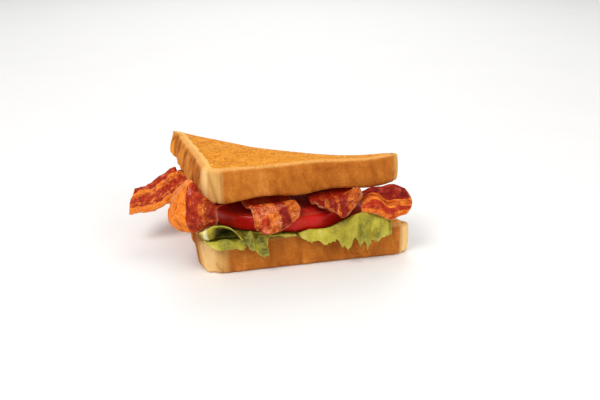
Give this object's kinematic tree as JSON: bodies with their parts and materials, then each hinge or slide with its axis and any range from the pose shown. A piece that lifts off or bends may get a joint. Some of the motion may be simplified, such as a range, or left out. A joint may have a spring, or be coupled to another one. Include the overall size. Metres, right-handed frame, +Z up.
{
  "type": "blt sandwich",
  "caption": "Triangular half of a toasted sandwich cut corner to corner, filled with fried bacon, tomato and lettuce.",
  "frame": {"origin": "middle of the bottom slice's underside, a third of the way along both crusts from their corner", "axes": "+Z up; +X along the front crust, from the right-angled corner to the right tip; +Y along the left crust; the cut face looks towards +X +Y"},
  "size_m": [0.1389, 0.1157, 0.0524],
  "materials": {
    "toast": "dry toasted bread, matt",
    "lettuce": "fresh leaf, semi-gloss",
    "tomato": "moist, glossy",
    "bacon": "fried, greasy gloss"
  },
  "bodies": {
    "root": {"bread_bottom": "toast", "lettuce_leaf_left": "lettuce", "lettuce_leaf_left_upper": "lettuce", "lettuce_leaf_right": "lettuce", "tomato_slice": "tomato", "tomato_slice_back": "tomato", "bacon_strip_left": "bacon", "bacon_strip_corner": "bacon", "bacon_strip_front": "bacon", "bacon_strip_middle": "bacon", "bacon_strip_right": "bacon", "bacon_strip_back": "bacon", "bread_top": "toast"}
  },
  "joints": []
}
